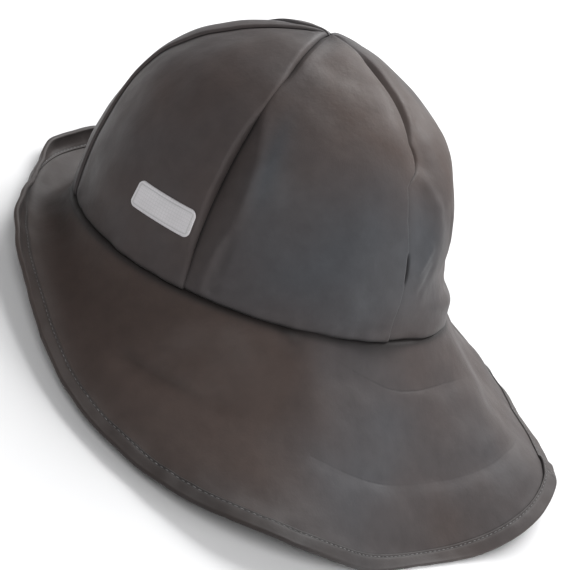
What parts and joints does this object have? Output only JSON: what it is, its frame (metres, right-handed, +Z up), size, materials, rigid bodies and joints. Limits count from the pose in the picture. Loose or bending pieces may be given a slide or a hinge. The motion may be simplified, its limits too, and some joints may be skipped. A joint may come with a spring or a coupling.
{
  "type": "sou'wester hat",
  "caption": "Sou'wester rain hat: domed crown of lapped gores, brim long over the neck and turned up to a gutter at the front, hemmed rim and a small reflective patch.",
  "frame": {"origin": "under the middle of the hat, on the surface that it rests on", "axes": "+X to the wearer's right, +Y to the hat's front, +Z up"},
  "size_m": [0.2684, 0.3034, 0.1444],
  "materials": {
    "coated_cloth": "matte coated rain cloth",
    "hem_cloth": "matte coated rain cloth, folded and stitched",
    "reflective_film": "soft silver reflective film"
  },
  "bodies": {
    "root": {"crown_gore_back_left": "coated_cloth", "crown_gore_left": "coated_cloth", "crown_gore_front_left": "coated_cloth", "crown_gore_front_right": "coated_cloth", "crown_gore_right": "coated_cloth", "crown_gore_back_right": "coated_cloth", "brim": "coated_cloth", "edge_binding": "hem_cloth", "reflective_patch": "reflective_film"}
  },
  "joints": []
}
